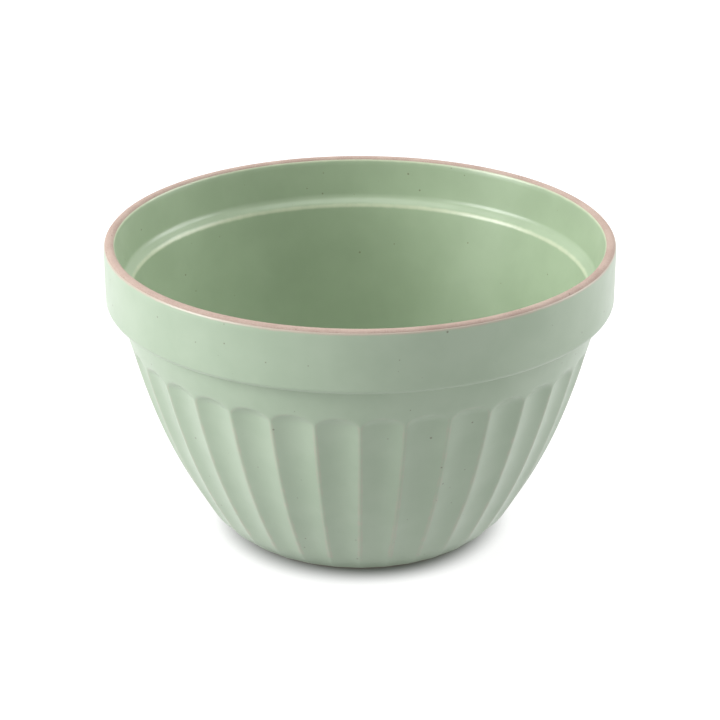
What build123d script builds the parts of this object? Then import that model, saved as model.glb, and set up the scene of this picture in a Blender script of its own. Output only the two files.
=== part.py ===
from build123d import *
import os
from collections import namedtuple
from math import asin, atan2, cos, pi, radians, sin, sqrt

# A fluted stoneware mixing bowl, drawn as the fired clay and the coats of glaze on it.
# It stands on z = 0 with its axis on Z. Sizes are in millimetres, over the glaze unless they say clay.
# A lean is how far a wall tips from upright; it grows from the neck down to the foot. A share is part of the
# lean of the straight line from neck to foot, so that the wall keeps its curve when the bowl changes size.

# the whole bowl
height = 150.0
rim_radius = 125.0
foot_radius = 65.4

# collar
collar_height = 31.0
collar_step = 6.8
collar_corner = 3.0
neck_cove = 1.6
lip_thickness = 5.2
lip_flat = 0.6
lip_bare = 2.2

# outside wall
neck_lean_share = 0.443
heel_lean_share = 1.32
foot_lean = radians(60.0)
foot_run_out_lean = radians(76.0)
heel_curve = 40.0

# inside
wall_thickness = 7.0
ledge_depth = 24.1
ledge_width = 4.2
ledge_fall = 3.4
ledge_corner = 5.0
ledge_edge = 5.0
floor_thickness = 8.0
floor_curve = 30.0

# foot
foot_ring_width = 4.5
foot_recess = 2.2
foot_ring_rounding = 0.6
foot_bare = 1.2

# flutes
flute_count = 34
flute_radius = 25.0
ridge_land = 1.2
plain_band = 16.0
arch_rise = 5.8
foot_fade = 0.3
front_angle = -90.0

# glaze
glaze = 0.4

# how the solids are made: what is trimmed off runs on this far, and the flutes are cut in a ring around a core
past_end = 4.0
core_radius = 20.0

neck_height = height - collar_height
neck_radius = rim_radius - collar_step
lip_rounding = (lip_thickness - 2 * glaze - lip_flat) / 2
wall_lean = atan2(neck_radius - foot_radius, neck_height)
neck_lean = wall_lean * neck_lean_share
heel_lean = wall_lean * heel_lean_share
flute_pitch = 360 / flute_count

# one arc of the wall: a point on it lies at radius from centre, along the wall's outward normal
Bend = namedtuple("Bend", "centre radius start end")


def outward(lean):
    return Vector(cos(lean), -sin(lean))


def down_wall(lean):
    return Vector(-sin(lean), -cos(lean))


def on_bend(bend, lean, out=0.0):
    return bend.centre + outward(lean) * (bend.radius + out)


def lean_at(bend, level, out=0.0):
    return asin((bend.centre.Y - level) / (bend.radius + out))


def bend_edge(bend, start, end, out=0.0):
    middle = (start + end) / 2
    return ThreePointArc(on_bend(bend, start, out), on_bend(bend, middle, out), on_bend(bend, end, out))


def bend_between(start, end, start_lean, end_lean):
    chord = end - start
    radius = -chord.dot(chord) / (2 * chord.dot(outward(start_lean)))
    return Bend(start - outward(start_lean) * radius, radius, start_lean, end_lean)


def wall_bends():
    """The outside wall: two tangent arcs from neck to heel, then the heel's own arc to the foot."""
    heel_centre = Vector(foot_radius, 0) - outward(foot_lean) * heel_curve
    heel = Bend(heel_centre, heel_curve, heel_lean, foot_run_out_lean)
    top = Vector(neck_radius, neck_height)
    bottom = on_bend(heel, heel_lean)
    drop = bottom - top
    tangents = down_wall(neck_lean) + down_wall(heel_lean)
    turn = 2 * (1 - down_wall(neck_lean).dot(down_wall(heel_lean)))
    along = drop.dot(tangents)
    reach = (sqrt(along**2 + turn * drop.dot(drop)) - along) / turn
    upper_corner = top + down_wall(neck_lean) * reach
    lower_corner = bottom - down_wall(heel_lean) * reach
    middle = (upper_corner + lower_corner) / 2
    slope = upper_corner - lower_corner
    middle_lean = atan2(slope.X, slope.Y)
    upper = bend_between(top, middle, neck_lean, middle_lean)
    lower = bend_between(middle, bottom, middle_lean, heel_lean)
    return upper, lower, heel


upper, lower, heel = wall_bends()


# sections are drawn in XY, with X as the radius and Y as the height, and turned about Z
def turned(section):
    return revolve(Plane.XZ * section, Axis.Z)


def block(inner, outer, low, high):
    """A rectangle of section, to keep only what lies inside it."""
    return Pos(inner, low) * Rectangle(outer - inner, high - low, align=(Align.MIN, Align.MIN))


def outline(inset):
    """Half section of the solid blank, moved in by inset all round and running on below the foot and above the lip."""
    side = rim_radius - inset
    shelf = neck_height + inset
    shelf_lean = lean_at(upper, shelf, -inset)
    neck = on_bend(upper, shelf_lean, -inset)
    corner = Vector(side, shelf)
    bottom = on_bend(heel, foot_run_out_lean, -inset)
    collar = [
        neck,
        corner,
        Vector(side, height + past_end),
        Vector(0, height + past_end),
        Vector(0, bottom.Y),
        bottom,
    ]
    wall = [
        bend_edge(heel, heel.end, heel.start, -inset),
        bend_edge(lower, lower.end, lower.start, -inset),
        bend_edge(upper, upper.end, shelf_lean, -inset),
    ]
    face = make_face([Polyline(*collar), *wall])
    face = fillet(nearest(face, corner), collar_corner - inset)
    return fillet(nearest(face, neck), neck_cove + inset)


def nearest(face, place):
    return face.vertices().sort_by_distance(place)[0]


def hollow():
    """Half section of the space inside, over the glaze, running on past the lip and the axis."""
    edge_level = height - ledge_depth
    edge_lean = lean_at(upper, edge_level, -wall_thickness)
    floor_lean = lean_at(lower, floor_thickness, -wall_thickness)
    ledge_edge_point = on_bend(upper, edge_lean, -wall_thickness)
    ledge_corner_point = ledge_edge_point + Vector(ledge_width, ledge_fall)
    floor_point = on_bend(lower, floor_lean, -wall_thickness)
    lip = Vector(rim_radius - lip_thickness, height)
    taper = (lip - ledge_corner_point) * (past_end / (height - ledge_corner_point.Y))
    around = [
        ledge_edge_point,
        ledge_corner_point,
        lip + taper,
        Vector(-past_end, (lip + taper).Y),
        Vector(-past_end, floor_thickness),
        floor_point,
    ]
    wall = [
        bend_edge(lower, floor_lean, lower.start, -wall_thickness),
        bend_edge(upper, upper.end, edge_lean, -wall_thickness),
    ]
    face = make_face([Polyline(*around), *wall])
    face = fillet(nearest(face, floor_point), floor_curve)
    face = fillet(nearest(face, ledge_corner_point), ledge_corner)
    return fillet(nearest(face, ledge_edge_point), ledge_edge)


def flute_half_width(radius):
    return (2 * pi * radius / flute_count - ridge_land) / 2


def flute_centre(bend, lean, lift=0.0):
    """Where the round tool's centre runs, so that the lands between flutes keep their width."""
    place = on_bend(bend, lean)
    half_width = flute_half_width(place.X)
    crown = half_width**2 / (2 * place.X) * cos(lean)
    return place + outward(lean) * (sqrt(flute_radius**2 - half_width**2) - crown + lift)


def flute_path():
    """The tool's centre line in a flute's middle plane, from the foot of the arch to below the bowl's foot."""
    start = lean_at(upper, neck_height - plain_band - arch_rise)
    stops = [
        flute_centre(upper, start),
        flute_centre(upper, (start + upper.end) / 2),
        flute_centre(upper, upper.end),
        flute_centre(lower, (lower.start + lower.end) / 2),
        flute_centre(heel, heel.start),
        flute_centre(heel, foot_lean, foot_fade),
        flute_centre(heel, foot_run_out_lean, foot_fade),
    ]
    path = [ThreePointArc(*stops[:3])]
    for stop in stops[3:]:
        last = path[-1]
        path.append(TangentArc(last @ 1, stop, tangent=last % 1))
    return path


def flute_tool(radius):
    """A round bar bent along the flute, with a flattened ball end that makes the low arch."""
    path = Plane.XZ * Wire([edge for piece in flute_path() for edge in piece.edges()])
    along = path % 0
    away = Vector(-along.Z, 0, along.X)
    start = Plane(origin=path @ 0, x_dir=away, z_dir=along)
    flatness = arch_rise / flute_half_width(neck_radius)
    ball = scale(Sphere(radius), by=(1, 1, flatness))
    return sweep(start * Circle(radius), path) + start * ball


def fluted_block(inset, low, high):
    """The outside of the bowl, still solid, between two levels. One flute is cut in a sector, which then repeats."""
    section = outline(inset) & block(0, rim_radius, low, high)
    flute_top = neck_height - plain_band + neck_cove
    wall = section & block(core_radius, rim_radius, low, flute_top)
    sector = Rot(0, 0, -flute_pitch / 2) * revolve(Plane.XZ * wall, Axis.Z, flute_pitch)
    sector = sector - flute_tool(flute_radius + inset)
    first = front_angle + flute_pitch / 2
    ring = Part() + [Rot(0, 0, first + k * flute_pitch) * sector for k in range(flute_count)]
    core = turned(section & block(0, core_radius, low, high))
    collar = turned(section & block(core_radius, rim_radius, flute_top, high))
    return ring + core + collar


def stoneware_body(clay):
    """The fired clay: bare lip, bare foot ring, and a shallow recess under the base."""
    body = clay - turned(offset(hollow(), glaze) & block(0, rim_radius, 0, height))
    lip = body.edges().filter_by(GeomType.CIRCLE).group_by(Axis.Z)[-1]
    body = fillet(lip, lip_rounding)
    recess_radius = foot_radius - foot_ring_width
    body = body - Pos(0, 0, foot_recess / 2) * Cylinder(recess_radius, foot_recess)
    ring_inside = body.edges().sort_by_distance((-recess_radius, 0, 0))[0]
    return fillet(ring_inside, foot_ring_rounding)


def outer_glaze(clay):
    """The coat outside, from just above the foot ring to just below the lip."""
    return fluted_block(0, foot_bare, height - lip_bare) - clay


def inner_glaze():
    """The coat inside, from just below the lip over the ledge, the wall and the floor."""
    space = hollow()
    return turned((offset(space, glaze) - space) & block(0, rim_radius, 0, height - lip_bare))


def foot_glaze():
    """The coat on the ceiling of the recess under the base."""
    radius = foot_radius - foot_ring_width - foot_ring_rounding
    return Pos(0, 0, foot_recess - glaze / 2) * Cylinder(radius, glaze)


clay = fluted_block(glaze, 0, height)
pieces = {
    "stoneware_body": stoneware_body(clay),
    "outer_glaze": outer_glaze(clay),
    "inner_glaze": inner_glaze(),
    "foot_glaze": foot_glaze(),
}

os.makedirs("parts", exist_ok=True)
for name, piece in pieces.items():
    export_step(piece, f"parts/{name}.step")
    print(name, len(piece.solids()), "solid", round(piece.volume / 1000, 2), "cm3")
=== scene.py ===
import math
import bmesh
import bpy
from mathutils import Matrix, Vector


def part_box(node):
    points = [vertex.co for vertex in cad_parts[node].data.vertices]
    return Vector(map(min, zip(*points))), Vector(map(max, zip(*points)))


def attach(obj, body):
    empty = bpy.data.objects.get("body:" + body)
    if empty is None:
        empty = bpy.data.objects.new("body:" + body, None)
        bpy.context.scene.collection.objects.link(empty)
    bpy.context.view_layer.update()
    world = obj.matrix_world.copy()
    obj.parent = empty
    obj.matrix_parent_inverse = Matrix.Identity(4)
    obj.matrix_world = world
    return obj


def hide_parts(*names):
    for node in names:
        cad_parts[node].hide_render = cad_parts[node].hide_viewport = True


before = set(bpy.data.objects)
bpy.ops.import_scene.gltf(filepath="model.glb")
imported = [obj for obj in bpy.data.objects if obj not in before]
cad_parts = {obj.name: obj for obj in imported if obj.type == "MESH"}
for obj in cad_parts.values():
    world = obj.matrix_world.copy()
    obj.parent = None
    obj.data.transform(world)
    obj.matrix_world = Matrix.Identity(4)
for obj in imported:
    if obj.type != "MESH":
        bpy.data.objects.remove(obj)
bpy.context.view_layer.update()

mm = 0.001

# A fluted stoneware mixing bowl: the fired clay and three coats of glaze on it. Lengths are in metres over the glaze.
# A section is a run of points (radius, height), and a lean is how far a wall tips from upright.
rimRadius = -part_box("outer_glaze")[0].x
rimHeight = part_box("stoneware_body")[1].z
glazeThickness = 0.4 * mm
collar = {"height": 31.0 * mm, "step": 6.8 * mm, "corner": 3.0 * mm, "cove": 1.6 * mm}
lip = {"thickness": 5.2 * mm, "rounding": 2.1 * mm, "bare": 1.0 * mm}
wall = {
    "neckLean": math.radians(10.6),
    "heelLean": math.radians(31.6),
    "footLean": math.radians(60.0),
    "heelCurve": 40.0 * mm,
    "footRadius": 65.4 * mm,
    "thickness": 7.0 * mm,
}
shelfLevel = rimHeight - collar["height"]
neckRadius = rimRadius - collar["step"]


def outward(lean):
    return Vector((math.cos(lean), -math.sin(lean)))


def downWall(lean):
    return Vector((-math.sin(lean), -math.cos(lean)))


def bendBetween(start, end, startLean, endLean):
    chord = end - start
    radius = -chord.dot(chord) / (2 * chord.dot(outward(startLean)))
    return {"centre": start - outward(startLean) * radius, "radius": radius, "to": endLean}


# the outside wall as two long tangent arcs and the heel's short one, from the neck down
def wallBends():
    heelCentre = Vector((wall["footRadius"], 0)) - outward(wall["footLean"]) * wall["heelCurve"]
    heelTop = heelCentre + outward(wall["heelLean"]) * wall["heelCurve"]
    neckTop = Vector((neckRadius, shelfLevel))
    drop = heelTop - neckTop
    tangents = downWall(wall["neckLean"]) + downWall(wall["heelLean"])
    turn = 2 * (1 - downWall(wall["neckLean"]).dot(downWall(wall["heelLean"])))
    along = drop.dot(tangents)
    reach = (math.sqrt(along**2 + turn * drop.dot(drop)) - along) / turn
    upperCorner = neckTop + downWall(wall["neckLean"]) * reach
    lowerCorner = heelTop - downWall(wall["heelLean"]) * reach
    middle = (upperCorner + lowerCorner) / 2
    slope = upperCorner - lowerCorner
    middleLean = math.atan2(slope.x, slope.y)
    upper = bendBetween(neckTop, middle, wall["neckLean"], middleLean)
    lower = bendBetween(middle, heelTop, middleLean, wall["heelLean"])
    heel = {"centre": heelCentre, "radius": wall["heelCurve"], "to": math.pi / 2}
    return [upper, lower, heel]


bends = wallBends()


# the wall's point and lean at a height, with the wall moved in by inset
def onWall(level, inset):
    for bend in bends:
        lean = math.asin(min(1.0, (bend["centre"].y - level) / (bend["radius"] - inset)))
        if lean <= bend["to"]:
            break
    return bend["centre"] + outward(lean) * (bend["radius"] - inset), lean


# points along the round of a corner, with its two sides as tangents
def roundedCorner(before, corner, after, radius, count):
    toBefore = (before - corner).normalized()
    toAfter = (after - corner).normalized()
    half = toBefore.angle(toAfter) / 2
    centre = corner + (toBefore + toAfter).normalized() * radius / math.sin(half)
    start = corner + toBefore * radius / math.tan(half) - centre
    end = corner + toAfter * radius / math.tan(half) - centre
    turn = start.angle_signed(end)
    return [centre + Matrix.Rotation(-turn * k / count, 2) @ start for k in range(count + 1)]


# values from start to end, about a step apart
def spaced(start, end, step):
    count = max(1, round(abs(end - start) / step))
    return [start + (end - start) * k / count for k in range(count + 1)]


def straight(start, end, step):
    return [start.lerp(end, t) for t in spaced(0, 1, step / (end - start).length)]


# one run of points from several, with the points that two runs share kept once
def joined(*runs):
    closest = 0.01 * mm
    points = []
    for point in (p for run in runs for p in run):
        if not points or (point - points[-1]).length > closest:
            points.append(point)
    return points


# the points moved out to their right by the distances, which for all sections here is away from the clay
def shifted(points, distances):
    moved = []
    for k, point in enumerate(points):
        direction = (points[min(k + 1, len(points) - 1)] - points[max(k - 1, 0)]).normalized()
        moved.append(point + Vector((direction.y, -direction.x)) * distances[k])
    return moved


flute = {
    "count": 34,
    "radius": 25.0 * mm,
    "plainBand": 16.0 * mm,
    "archRise": 5.8 * mm,
    "ridge": 1.2 * mm,
    "softness": 0.5 * mm,  # rounding of the ridges
    "footDepth": 0.6,  # share of the depth that is left low on the wall
    "footFade": 22.0 * mm,
    "footEnd": 4.0 * mm,  # over this height the cut runs out to nothing at the foot
    "thinWidth": 0.6 * mm,  # how far from a ridge the glaze is thin
    "bunching": 0.62,  # how much the steps round the bowl gather at the ridges
    "claySteps": 12,
    "glazeSteps": 16,
    # waves round the bowl as (count, size, start): ridges wander, and arches and depths differ a little
    "wander": [(3, 0.16 * mm, 0.4), (7, 0.12 * mm, 2.1), (13, 0.1 * mm, 4.0)],
    "wanderRadius": 100 * mm,
    "handCut": [(5, 0.14 * mm, 1.0), (11, 0.12 * mm, 3.0)],
    "handDepth": [(4, 0.03, 0.7), (9, 0.03, 2.6)],
}
archTop = shelfLevel - flute["plainBand"]
archFoot = archTop - flute["archRise"]

# how close the points of the sections stand to one another, and how many a corner has
wallSteps = {"heel": 1.6 * mm, "flutes": 3.5 * mm, "arches": 0.6 * mm, "neck": 3.0 * mm, "collar": 5.0 * mm}
insideSteps = {"band": 4.0 * mm, "wall": 4.0 * mm, "floor": 9.0 * mm}
cornerSteps = {"cove": 5, "collar": 9, "lip": 12, "ledge": 8, "floor": 12, "recess": 4, "foot": 3}


# the clay's outside from a level near the foot up to a level below the lip
def outsideClay(low, high):
    side = rimRadius - glazeThickness
    shelf = shelfLevel + glazeThickness
    neck, neckLean = onWall(shelf, glazeThickness)
    corner = Vector((side, shelf))
    cove = roundedCorner(neck + downWall(neckLean), neck, corner, collar["cove"], cornerSteps["cove"])
    cornerRound = collar["corner"] - glazeThickness
    edge = roundedCorner(neck, corner, corner + Vector((0, 1)), cornerRound, cornerSteps["collar"])
    heelLevel, archMargin = 14 * mm, 2 * mm
    levels = spaced(low, heelLevel, wallSteps["heel"])
    levels += spaced(heelLevel, archFoot - archMargin, wallSteps["flutes"])
    levels += spaced(archFoot - archMargin, archTop + archMargin, wallSteps["arches"])
    levels += spaced(archTop + archMargin, cove[0].y, wallSteps["neck"])
    upWall = [onWall(level, glazeThickness)[0] for level in levels]
    return joined(upWall, cove, edge, straight(edge[-1], Vector((side, high)), wallSteps["collar"]))


ledge = {"depth": 24.1 * mm, "width": 4.2 * mm, "fall": 3.4 * mm, "corner": 5.0 * mm, "edge": 5.0 * mm}
floorInside = {"thickness": 8.0 * mm, "curve": 30.0 * mm}


# the corners of the inside over the glaze: lip, ledge's corner and ledge's edge
def insideCorners():
    ledgeEdge = onWall(rimHeight - ledge["depth"], wall["thickness"])[0]
    ledgeCorner = ledgeEdge + Vector((ledge["width"], ledge["fall"]))
    lipPoint = Vector((rimRadius - lip["thickness"], rimHeight))
    return lipPoint, ledgeCorner, ledgeEdge


# the inside from a level below the lip down to the middle of the floor, over the glaze
def insideOverGlaze(high):
    lipPoint, ledgeCorner, ledgeEdge = insideCorners()
    start = lipPoint.lerp(ledgeCorner, (rimHeight - high) / (rimHeight - ledgeCorner.y))
    below = onWall(ledgeEdge.y - 4 * mm, wall["thickness"])[0]
    corner = roundedCorner(lipPoint, ledgeCorner, ledgeEdge, ledge["corner"], cornerSteps["ledge"])
    edge = roundedCorner(ledgeCorner, ledgeEdge, below, ledge["edge"], cornerSteps["ledge"])
    floorPoint, floorLean = onWall(floorInside["thickness"], wall["thickness"])
    upWall = floorPoint - downWall(floorLean)
    middle = Vector((0, floorPoint.y))
    floorRound = roundedCorner(upWall, floorPoint, middle, floorInside["curve"], cornerSteps["floor"])
    levels = spaced(edge[-1].y, floorRound[0].y, insideSteps["wall"])
    downInside = [onWall(level, wall["thickness"])[0] for level in levels[1:-1]]
    band = straight(start, corner[0], insideSteps["band"])
    floor = straight(floorRound[-1], middle, insideSteps["floor"])
    return joined(band, corner, edge, downInside, floorRound, floor)


# the clay from near the foot to the lip, over the lip in two rounds, and down to the middle of the floor
def clayRuns():
    lipPoint, ledgeCorner = insideCorners()[:2]
    taper = lipPoint - ledgeCorner
    lipInside = lipPoint + Vector((glazeThickness * taper.length / taper.y, 0))
    lipOutside = Vector((rimRadius - glazeThickness, rimHeight))
    outsideRun = outsideClay(0.5 * mm, rimHeight - lip["rounding"] - 0.3 * mm)
    over = roundedCorner(outsideRun[-1], lipOutside, lipInside, lip["rounding"], cornerSteps["lip"])
    into = roundedCorner(lipOutside, lipInside, ledgeCorner, lip["rounding"], cornerSteps["lip"])
    overGlaze = insideOverGlaze(rimHeight - lip["rounding"] - 0.8 * mm)
    insideRun = shifted(overGlaze, [-glazeThickness] * len(overGlaze))
    insideRun[-1].x = 0
    return outsideRun, over, into, insideRun


foot = {"ringWidth": 4.5 * mm, "recess": 2.2 * mm, "rounding": 0.8 * mm, "bare": 0.5 * mm}


# the fired clay's half section, from the middle of the base round the foot and the lip to the middle of the floor
def claySection():
    ringInside = wall["footRadius"] - foot["ringWidth"]
    ceiling = Vector((0, foot["recess"]))
    recessCorner = Vector((ringInside, foot["recess"]))
    ringCorner = Vector((ringInside, 0))
    footEdge = onWall(0, glazeThickness)[0]
    aboveFoot = onWall(2 * mm, glazeThickness)[0]
    underside = joined(
        straight(ceiling, recessCorner - Vector((foot["rounding"], 0)), 12 * mm),
        roundedCorner(ceiling, recessCorner, ringCorner, foot["rounding"], cornerSteps["recess"]),
        roundedCorner(recessCorner, ringCorner, footEdge, foot["rounding"], cornerSteps["recess"]),
        roundedCorner(ringCorner, footEdge, aboveFoot, foot["rounding"], cornerSteps["foot"]),
    )
    return joined(underside, *clayRuns())


# what each coat covers: it stops short of the lip's top, and outside also short of the foot
def coveredOutside():
    glazed = joined(*clayRuns()[:2])
    return [point for point in glazed if foot["bare"] <= point.y <= rimHeight - lip["bare"]]


def coveredInside():
    return [point for point in joined(*clayRuns()[2:]) if point.y <= rimHeight - lip["bare"]]


# how a coat ends: it thins out over the bead, and its underside is sunk a hair into the clay
coatEnd = {"bead": 3.2 * mm, "buried": 0.02 * mm, "step": 0.3 * mm}


# extra points over a run's first stretch, so that the coat's rounded end is smooth
def finerStart(run):
    fine, far = [run[0]], 0.0
    for a, b in zip(run, run[1:]):
        if far < coatEnd["bead"]:
            fine += straight(a, b, coatEnd["step"])[1:]
        else:
            fine.append(b)
        far += (b - a).length
    return fine


# a closed section of glaze over a run of clay, which ends at the axis or is open at both ends
def coat(clay):
    bead, buried = coatEnd["bead"], coatEnd["buried"]
    toAxis = clay[-1].x < bead
    clay = finerStart(clay)
    if not toAxis:
        clay = finerStart(clay[::-1])[::-1]
    length = [0.0]
    for a, b in zip(clay, clay[1:]):
        length.append(length[-1] + (b - a).length)
    distances = []
    for along in length:
        toEnd = along if toAxis else min(along, length[-1] - along)
        near = min(toEnd / bead, 1.0)
        distances.append((glazeThickness + buried) * (1 - (1 - near) ** 2) - buried)
    over = shifted(clay, distances)
    under = shifted(clay, [-buried] * len(clay))
    if toAxis:
        over[-1].x = under[-1].x = 0
        return over[::-1] + under[1::3] + under[-1:]
    return over + under[-2:0:-3]


# a section spun round the bowl's axis; one that starts off the axis is closed into a ring first
def turned(section, steps):
    bm = bmesh.new()
    wire = [bm.verts.new((point.x, 0, point.y)) for point in section]
    for a, b in zip(wire, wire[1:]):
        bm.edges.new((a, b))
    if section[0].x > 0:
        bm.edges.new((wire[-1], wire[0]))
    bmesh.ops.spin(
        bm, geom=bm.verts[:] + bm.edges[:], cent=(0, 0, 0), axis=(0, 0, 1), angle=math.tau, steps=steps, use_merge=True
    )
    bmesh.ops.remove_doubles(bm, verts=bm.verts[:], dist=0.004 * mm)
    return bm


# the wall's lean beside a point, and how far the point stands out from the plain wall
def leanAt(point):
    for bend in bends:
        away = point - bend["centre"]
        lean = math.atan2(-away.y, away.x)
        if lean <= bend["to"]:
            break
    return lean, away.length - bend["radius"]


def waves(angle, parts):
    return sum(size * math.sin(count * angle + start) for count, size, start in parts)


def eased(t):
    t = min(max(t, 0.0), 1.0)
    return t * t * (3 - 2 * t)


# how far a point of the plain wall lies inside the flute's cut; below zero it is on the land between two flutes
def fluteCut(across, level, radius, lean, archStart):
    half = math.pi * radius / flute["count"] - flute["ridge"] / 2
    above = max(level - archStart, 0) * half / flute["archRise"]
    off = above**2 + across**2
    root = math.sqrt(max(flute["radius"] ** 2 - off, 0))
    return root - math.sqrt(flute["radius"] ** 2 - half**2) + (half**2 - off) / (2 * radius) * math.cos(lean)


# where the glaze is thin, as shares, and the lengths over which each of these fades; the collar's and the ledge's
# shares are partly painted highlight lines
thinGlazeAndHighlight = {
    "ridges": 0.62,
    "ridgesFrom": 2 * mm,
    "ridgesFade": 12 * mm,
    "collar": 0.35,
    "collarHighlightFade": 1.4 * mm,
    "lipFade": 1.5 * mm,
    "ledge": 0.9,
    "ledgeHighlightBelow": 0.5 * mm,
    "ledgeHighlightFade": 1.6 * mm,
    "discFade": 2 * mm,
}


def thinAtLip(level):
    return math.exp(-(max((rimHeight - lip["bare"] - level) / thinGlazeAndHighlight["lipFade"], 0) ** 2))


# bunches the steps at the ridges, cuts the flutes, marks where the glaze is thin, and marks a painted highlight line
# along the collar's lower edge
def fluted(bm):
    thin = bm.verts.layers.float.new("thinGlazeAndHighlight")
    pitch = math.tau / flute["count"]
    bottomOfCollar = shelfLevel + collar["corner"] * 0.3
    nearAxis = 1 * mm
    skin = -3 * mm  # anything deeper than this is inside the bowl
    belowShelf = 2 * mm
    for vert in bm.verts:
        radius = math.hypot(vert.co.x, vert.co.y)
        level = vert.co.z
        if radius < nearAxis:
            continue
        turn = math.atan2(vert.co.y, vert.co.x) / pitch
        place = round(turn)
        within = turn - place
        within += flute["bunching"] * math.sin(math.tau * within) / math.tau
        angle = (place + within) * pitch
        wander = waves(angle, flute["wander"])
        lean, out = leanAt(Vector((radius, level)))
        mark = 0.0
        if out > skin and level < shelfLevel - belowShelf:
            across = within * pitch * radius
            handCut = waves(place * pitch, flute["handCut"])
            cut = fluteCut(across, level, radius, lean, archFoot + handCut)
            depth = (cut + math.sqrt(cut**2 + flute["softness"] ** 2)) / 2
            depth *= 1 + waves(place * pitch, flute["handDepth"]) * eased(cut / (1 * mm))
            depth *= flute["footDepth"] + (1 - flute["footDepth"]) * eased(level / flute["footFade"])
            depth *= eased((level + 0.2 * mm) / flute["footEnd"])
            radius -= math.cos(lean) * depth
            level += math.sin(lean) * depth
            mark = thinGlazeAndHighlight["ridges"] * math.exp(-((cut / flute["thinWidth"]) ** 2))
            mark *= eased((level - thinGlazeAndHighlight["ridgesFrom"]) / thinGlazeAndHighlight["ridgesFade"])
        elif out > skin and level < rimHeight:
            # the collar's lower edge gets a pale line that is partly thin glaze and partly a painted highlight
            mark = thinGlazeAndHighlight["collar"] * math.exp(-(((level - bottomOfCollar) / thinGlazeAndHighlight["collarHighlightFade"]) ** 2))
        vert[thin] = max(mark, thinAtLip(level))
        angle += wander / flute["wanderRadius"]
        vert.co = Vector((math.cos(angle) * radius, math.sin(angle) * radius, level))


# inside, the glaze is thin by the lip, and the ledge's edge gets a pale line that is partly thin glaze and partly a
# painted highlight
def markInside(bm):
    thin = bm.verts.layers.float.new("thinGlazeAndHighlight")
    edgeLevel = rimHeight - ledge["depth"] - thinGlazeAndHighlight["ledgeHighlightBelow"]
    for vert in bm.verts:
        atEdge = (vert.co.z - edgeLevel) / thinGlazeAndHighlight["ledgeHighlightFade"]
        vert[thin] = max(thinAtLip(vert.co.z), thinGlazeAndHighlight["ledge"] * math.exp(-(atEdge**2)))


# under the base, it is thin round the edge of the disc
def markDisc(bm, radius):
    thin = bm.verts.layers.float.new("thinGlazeAndHighlight")
    for vert in bm.verts:
        fromStart = math.hypot(vert.co.x, vert.co.y) - radius + thinGlazeAndHighlight["discFade"]
        vert[thin] = eased(fromStart / thinGlazeAndHighlight["discFade"])


def finished(bm, name, slotName, material, *replaced):
    bmesh.ops.recalc_face_normals(bm, faces=bm.faces[:])
    for face in bm.faces:
        face.smooth = True
    mesh = bpy.data.meshes.new(name)
    bm.to_mesh(mesh)
    bm.free()
    piece = bpy.data.objects.new(name, mesh)
    bpy.context.scene.collection.objects.link(piece)
    mesh.materials.append(material)
    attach(piece, "root")
    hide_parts(*replaced)
    print(name, len(mesh.polygons), "faces")


# sRGB hex to linear
def colour(hexCode):
    values = [int(hexCode[k : k + 2], 16) / 255 for k in (0, 2, 4)]
    return [v / 12.92 if v <= 0.04045 else ((v + 0.055) / 1.055) ** 2.4 for v in values] + [1.0]


def addNode(tree, kind, inputs=None, **settings):
    made = tree.nodes.new(kind)
    for key, value in settings.items():
        setattr(made, key, value)
    for key, value in (inputs or {}).items():
        if isinstance(value, bpy.types.NodeSocket):
            tree.links.new(value, made.inputs[key])
        else:
            made.inputs[key].default_value = value
    return made


def newMaterial(name):
    material = bpy.data.materials.new(name)
    material.use_nodes = True
    tree = material.node_tree
    tree.nodes.clear()
    where = addNode(tree, "ShaderNodeTexCoord").outputs["Object"]
    return material, tree, where


# iron specks that burned through the glaze: round dots of a few sizes, far apart
def specks(tree, where, spacing, size):
    share = size / spacing
    cells = addNode(tree, "ShaderNodeTexVoronoi", {"Vector": where, "Scale": 1 / spacing, "Randomness": 1.0})
    chance = addNode(tree, "ShaderNodeSeparateColor", {0: cells.outputs["Color"]}).outputs[0]
    reach = addNode(tree, "ShaderNodeMath", {0: chance, 1: share}, operation="MULTIPLY").outputs[0]
    near = addNode(tree, "ShaderNodeMath", {0: cells.outputs["Distance"], 1: reach}, operation="SUBTRACT").outputs[0]
    return addNode(
        tree,
        "ShaderNodeMapRange",
        {"Value": near, "From Min": -0.1 * share, "From Max": 0.25 * share, "To Min": 1.0, "To Max": 0.0},
        interpolation_type="SMOOTHSTEP",
    ).outputs["Result"]
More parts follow.
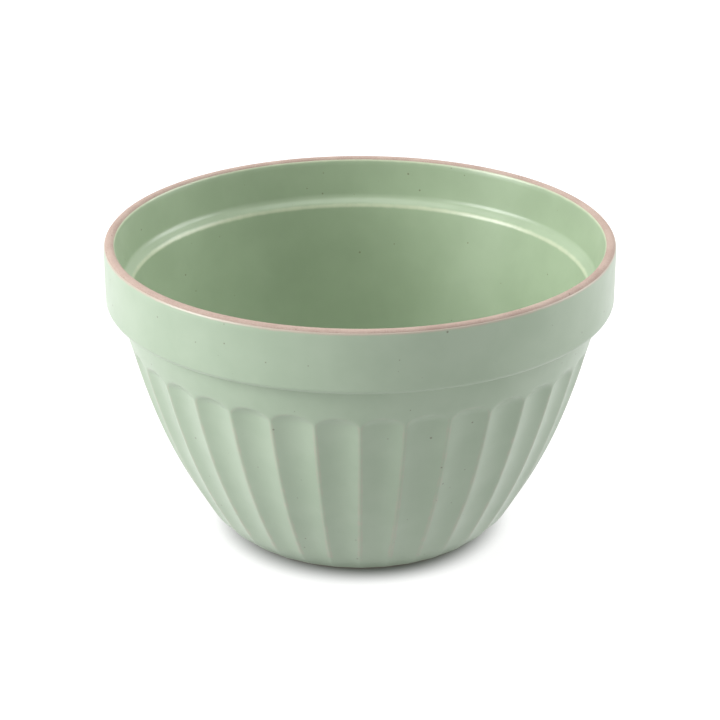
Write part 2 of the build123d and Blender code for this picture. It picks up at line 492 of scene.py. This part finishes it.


# Fired glaze over stoneware. The eye gets a soft green that drifts from place to place, the clay's tan along
# ridges and ends where the coat ran thin, painted highlight lines along the collar's and the ledge's edges, sparse iron
# specks, and a glassy skin with a faint orange peel.
def glazeMaterial(name, look):
    material, tree, where = newMaterial(name)
    coarse = {"Vector": where, "Detail": 3.0, "Roughness": 0.55}
    fine = {"Vector": where, "Detail": 2.0, "Roughness": 0.55}

    cloud = addNode(tree, "ShaderNodeTexNoise", {**coarse, "Scale": 1 / look["cloudSize"]}).outputs["Fac"]
    drift = addNode(
        tree,
        "ShaderNodeMapRange",
        {"Value": cloud, "From Min": 0.3, "From Max": 0.7, "To Min": 0.0, "To Max": 1.0},
        interpolation_type="SMOOTHSTEP",
    ).outputs["Result"]
    body = addNode(
        tree, "ShaderNodeMix", {0: drift, 6: colour(look["deep"]), 7: colour(look["pale"])}, data_type="RGBA"
    ).outputs[2]

    # the thin places, and the painted highlight lines at the collar and the ledge, broken up so that the tan comes and
    # goes
    thin = addNode(tree, "ShaderNodeAttribute", attribute_name="thinGlazeAndHighlight").outputs["Fac"]
    patches = addNode(tree, "ShaderNodeTexNoise", {**coarse, "Scale": 1 / look["patchSize"]}).outputs["Fac"]
    broken = addNode(tree, "ShaderNodeMath", {0: patches, 1: look["brokenUp"]}, operation="MULTIPLY").outputs[0]
    bare = addNode(tree, "ShaderNodeMath", {0: thin, 1: broken}, operation="SUBTRACT").outputs[0]
    thinRange = {"From Min": look["thinFrom"], "From Max": look["thinTo"], "To Min": 0.0, "To Max": look["thinShare"]}
    edge = addNode(
        tree, "ShaderNodeMapRange", {"Value": bare, **thinRange}, interpolation_type="SMOOTHSTEP"
    ).outputs["Result"]
    body = addNode(tree, "ShaderNodeMix", {0: edge, 6: body, 7: colour(look["edge"])}, data_type="RGBA").outputs[2]

    dots = specks(tree, where, look["speckSpacing"], look["speckSize"])
    dotted = addNode(tree, "ShaderNodeMath", {0: dots, 1: look["speckShare"]}, operation="MULTIPLY").outputs[0]
    body = addNode(tree, "ShaderNodeMix", {0: dotted, 6: body, 7: colour(look["speck"])}, data_type="RGBA").outputs[2]

    mottle = addNode(tree, "ShaderNodeTexNoise", {**fine, "Scale": 1 / look["mottleSize"]}).outputs["Fac"]
    roughRange = {"From Min": 0.3, "From Max": 0.7, "To Min": look["rough"] - 0.03, "To Max": look["rough"] + 0.04}
    rough = addNode(
        tree, "ShaderNodeMapRange", {"Value": mottle, **roughRange}, interpolation_type="SMOOTHSTEP"
    ).outputs["Result"]

    # orange peel on a slow ripple, as heights in metres
    peel = addNode(tree, "ShaderNodeTexNoise", {**fine, "Scale": 1 / look["peelSize"]}).outputs["Fac"]
    ripple = addNode(tree, "ShaderNodeTexNoise", {**fine, "Scale": 1 / look["rippleSize"]}).outputs["Fac"]
    slow = addNode(tree, "ShaderNodeMath", {0: ripple, 1: look["ripple"]}, operation="MULTIPLY").outputs[0]
    height = addNode(tree, "ShaderNodeMath", {0: peel, 1: look["peel"], 2: slow}, operation="MULTIPLY_ADD").outputs[0]
    bump = addNode(tree, "ShaderNodeBump", {"Height": height, "Distance": 1.0, "Strength": 1.0}).outputs["Normal"]

    shader = addNode(
        tree,
        "ShaderNodeBsdfPrincipled",
        {
            "Base Color": body,
            "Roughness": rough,
            "Normal": bump,
            "IOR": look["ior"],
            "Coat Weight": look["coat"],
            "Coat Roughness": look["coatRough"],
        },
    )
    addNode(tree, "ShaderNodeOutputMaterial", {"Surface": shader.outputs["BSDF"]})
    return material


# Bare fired stoneware. The eye gets a dry, matte, pinkish tan with a sandy grain and darker grog here and there.
def clayMaterial(name, look):
    material, tree, where = newMaterial(name)
    noise = {"Vector": where, "Roughness": 0.55}
    grain = addNode(tree, "ShaderNodeTexNoise", {**noise, "Scale": 1 / look["grain"], "Detail": 4.0}).outputs["Fac"]
    cloud = addNode(tree, "ShaderNodeTexNoise", {**noise, "Scale": 1 / look["cloudSize"], "Detail": 2.0}).outputs["Fac"]
    both = addNode(tree, "ShaderNodeMath", {0: grain, 1: cloud}, operation="ADD").outputs[0]
    average = addNode(tree, "ShaderNodeMath", {0: both, 1: 0.5}, operation="MULTIPLY").outputs[0]
    drift = addNode(
        tree,
        "ShaderNodeMapRange",
        {"Value": average, "From Min": 0.35, "From Max": 0.65, "To Min": 0.0, "To Max": 1.0},
        interpolation_type="SMOOTHSTEP",
    ).outputs["Result"]
    body = addNode(
        tree, "ShaderNodeMix", {0: drift, 6: colour(look["deep"]), 7: colour(look["pale"])}, data_type="RGBA"
    ).outputs[2]

    grog = specks(tree, where, look["grogSpacing"], look["grogSize"])
    dotted = addNode(tree, "ShaderNodeMath", {0: grog, 1: look["grogShare"]}, operation="MULTIPLY").outputs[0]
    body = addNode(tree, "ShaderNodeMix", {0: dotted, 6: body, 7: colour(look["grog"])}, data_type="RGBA").outputs[2]

    relief = addNode(tree, "ShaderNodeMath", {0: grain, 1: look["relief"]}, operation="MULTIPLY").outputs[0]
    bump = addNode(tree, "ShaderNodeBump", {"Height": relief, "Distance": 1.0, "Strength": 1.0}).outputs["Normal"]
    shader = addNode(
        tree,
        "ShaderNodeBsdfPrincipled",
        {"Base Color": body, "Roughness": look["rough"], "Normal": bump, "IOR": look["ior"]},
    )
    addNode(tree, "ShaderNodeOutputMaterial", {"Surface": shader.outputs["BSDF"]})
    return material


clayLook = {
    "deep": "a68f84",
    "pale": "b7a397",
    "grain": 0.6 * mm,
    "cloudSize": 18 * mm,
    "relief": 0.03 * mm,
    "rough": 0.8,
    "ior": 1.45,
    "grog": "6d5a4c",
    "grogSpacing": 4 * mm,
    "grogSize": 0.5 * mm,
    "grogShare": 0.5,
}
bareStoneware = clayMaterial("bareStoneware", clayLook)
clayMesh = turned(claySection(), flute["count"] * flute["claySteps"])
fluted(clayMesh)
finished(clayMesh, "stonewareBody", "bare_stoneware", bareStoneware, "stoneware_body")

# the outer coat has a satin skin
outerLook = {
    "deep": "a2b59c",
    "pale": "a9bba3",
    # the tan of thin glaze over the clay, also the colour of the painted highlight line at the collar's lower edge
    "edge": "c0aea1",
    "speck": "6a6150",
    "cloudSize": 26 * mm,
    "patchSize": 5 * mm,
    "brokenUp": 0.5,
    "thinFrom": 0.15,
    "thinTo": 0.75,
    "thinShare": 0.8,
    "speckSpacing": 6.5 * mm,
    "speckSize": 0.55 * mm,
    "speckShare": 0.6,
    "mottleSize": 14 * mm,
    "rough": 0.42,
    "peelSize": 1.6 * mm,
    "peel": 0.012 * mm,
    "rippleSize": 11 * mm,
    "ripple": 0.06 * mm,
    "ior": 1.5,
    "coat": 0.5,
    "coatRough": 0.3,
}
satinSageGlaze = glazeMaterial("satinSageGlaze", outerLook)
outerMesh = turned(coat(coveredOutside()), flute["count"] * flute["glazeSteps"])
fluted(outerMesh)
finished(outerMesh, "outerGlaze", "outer_glaze", satinSageGlaze, "outer_glaze")

# the inner coat is shinier, and its deeper green is a darker copy of the sage, painted shade for the inside of the bowl
innerLookPaintedShade = {
    **outerLook,
    "deep": "9bad90",
    "pale": "a2b497",
    # a pale green, the colour of the painted highlight along the ledge's edge and of the thin glaze by the lip
    "edge": "c4ccb0",
    "cloudSize": 30 * mm,
    "speckSize": 0.5 * mm,
    "rough": 0.35,
    "peel": 0.008 * mm,
    "coat": 0.25,
    "coatRough": 0.22,
}
innerSteps = 320
glossySageGlazePaintedShade = glazeMaterial("glossySageGlazePaintedShade", innerLookPaintedShade)
innerMesh = turned(coat(coveredInside()), innerSteps)
markInside(innerMesh)
finished(innerMesh, "innerGlaze", "inner_glaze", glossySageGlazePaintedShade, "inner_glaze")

# a disc of glaze on the ceiling of the recess, with a rounded edge, sunk a hair into the clay
disc = {"gap": 0.6 * mm, "bead": 0.6 * mm, "shoulder": 0.25 * mm, "buried": 0.03 * mm, "step": 12 * mm, "steps": 160}
discRadius = wall["footRadius"] - foot["ringWidth"] - disc["gap"]
discFace = foot["recess"] - glazeThickness
discSection = [
    Vector((0, discFace)),
    *straight(Vector((disc["step"], discFace)), Vector((discRadius - disc["bead"], discFace)), disc["step"]),
    Vector((discRadius - disc["shoulder"], foot["recess"] - 0.8 * glazeThickness)),
    Vector((discRadius, foot["recess"] - 0.3 * glazeThickness)),
    Vector((discRadius, foot["recess"] + disc["buried"])),
    Vector((0, foot["recess"] + disc["buried"])),
]
discMesh = turned(discSection, disc["steps"])
markDisc(discMesh, discRadius)
finished(discMesh, "footGlaze", "outer_glaze", satinSageGlaze, "foot_glaze")
print("all four pieces made")

# White paper under the bowl. It glows away from the foot, so that it burns out to white but keeps the soft shadow of
# the lamps;
# near the foot the glow fades to nothing, which paints a dark contact shadow round it, and it lights nothing itself.
paper = {
    "halfWidth": 6.0,
    "colour": "989898",
    "rough": 0.9,
    "glow": 0.8,
    "centre": (0, -7 * mm, 0),
    "paintedShadowTo": 58 * mm,
    "whiteFrom": 78 * mm,
}
floorMesh = bmesh.new()
bmesh.ops.create_grid(floorMesh, x_segments=1, y_segments=1, size=paper["halfWidth"])
floorData = bpy.data.meshes.new("studioFloor")
floorMesh.to_mesh(floorData)
floorMesh.free()
studioFloor = bpy.data.objects.new("studioFloor", floorData)
bpy.context.scene.collection.objects.link(studioFloor)
whitePaper, paperTree, onPaper = newMaterial("whitePaper")
fromFoot = addNode(
    paperTree, "ShaderNodeVectorMath", {0: onPaper, 1: paper["centre"]}, operation="DISTANCE"
).outputs["Value"]
# the glow is nothing close to the foot and full further out: a painted contact shadow round the foot
glowRange = {"From Min": paper["paintedShadowTo"], "From Max": paper["whiteFrom"], "To Min": 0.0, "To Max": paper["glow"]}
glow = addNode(
    paperTree, "ShaderNodeMapRange", {"Value": fromFoot, **glowRange}, interpolation_type="SMOOTHSTEP"
).outputs["Result"]
paperShader = addNode(
    paperTree,
    "ShaderNodeBsdfPrincipled",
    {
        "Base Color": colour(paper["colour"]),
        "Roughness": paper["rough"],
        "Emission Color": (1.0, 1.0, 1.0, 1.0),
        "Emission Strength": glow,
    },
)
addNode(paperTree, "ShaderNodeOutputMaterial", {"Surface": paperShader.outputs["BSDF"]})
floorData.materials.append(whitePaper)
studioFloor.visible_diffuse = False
print("floor laid")

# a strong soft light at the left, a weak one at the right and one overhead, in metres and watts
softboxes = {
    "leftSoftbox": {"at": (-1.85, -0.5, 0.95), "aim": (0, 0, 0.1), "width": 1.2, "height": 1.1, "power": 41.0},
    "rightSoftbox": {"at": (1.35, 0.45, 0.8), "aim": (0, 0, 0.1), "width": 1.0, "height": 0.9, "power": 12.5},
    "topSoftbox": {"at": (-0.1, 0.2, 1.5), "aim": (0, 0, 0), "width": 1.4, "height": 1.4, "power": 13.0},
}
for name, box in softboxes.items():
    light = bpy.data.lights.new(name, "AREA")
    light.shape = "RECTANGLE"
    light.size = box["width"]
    light.size_y = box["height"]
    light.energy = box["power"]
    lamp = bpy.data.objects.new(name, light)
    lamp.location = box["at"]
    lamp.rotation_euler = (Vector(box["aim"]) - Vector(box["at"])).to_track_quat("-Z", "Y").to_euler()
    bpy.context.scene.collection.objects.link(lamp)

# the studio is white behind the bowl and dimmer on the near side, and the light from below stands for the paper's
greys = {"aboveNear": 0.39, "aboveFar": 0.62, "straightDown": 0.42, "belowHorizon": 0.88}
greys = {place: [value, value, value, 1] for place, value in greys.items()}
world = bpy.data.worlds.new("studio")
world.use_nodes = True
worldTree = world.node_tree
direction = addNode(worldTree, "ShaderNodeTexCoord").outputs["Generated"]
heading = addNode(worldTree, "ShaderNodeSeparateXYZ", {0: direction}).outputs
toFar = addNode(
    worldTree,
    "ShaderNodeMapRange",
    {"Value": heading["Y"], "From Min": -0.3, "From Max": 0.5, "To Min": 0.0, "To Max": 1.0},
    interpolation_type="SMOOTHSTEP",
).outputs["Result"]
above = addNode(
    worldTree, "ShaderNodeMix", {0: toFar, 6: greys["aboveNear"], 7: greys["aboveFar"]}, data_type="RGBA"
).outputs[2]
toHorizon = addNode(
    worldTree,
    "ShaderNodeMapRange",
    {"Value": heading["Z"], "From Min": -0.9, "From Max": -0.2, "To Min": 0.0, "To Max": 1.0},
    interpolation_type="SMOOTHSTEP",
).outputs["Result"]
below = addNode(
    worldTree, "ShaderNodeMix", {0: toHorizon, 6: greys["straightDown"], 7: greys["belowHorizon"]}, data_type="RGBA"
).outputs[2]
upwards = addNode(
    worldTree,
    "ShaderNodeMapRange",
    {"Value": heading["Z"], "From Min": -0.06, "From Max": 0.04, "To Min": 0.0, "To Max": 1.0},
    interpolation_type="SMOOTHSTEP",
).outputs["Result"]
around = addNode(worldTree, "ShaderNodeMix", {0: upwards, 6: below, 7: above}, data_type="RGBA").outputs[2]
sky = worldTree.nodes["Background"]
worldTree.links.new(around, sky.inputs["Color"])
sky.inputs["Strength"].default_value = 1.0
bpy.context.scene.world = world
bpy.context.scene.view_settings.view_transform = "Standard"
print("lights and world set")

framing = {"lens": 110.0, "sensor": 36.0, "at": (0, -1.01306, 0.51928), "tilt": math.radians(66.689)}
lens = bpy.data.cameras.new("studioCamera")
lens.lens = framing["lens"]
lens.sensor_width = framing["sensor"]
camera = bpy.data.objects.new("studioCamera", lens)
camera.location = framing["at"]
camera.rotation_euler = (framing["tilt"], 0, 0)
bpy.context.scene.collection.objects.link(camera)
bpy.context.scene.camera = camera
print("camera set")
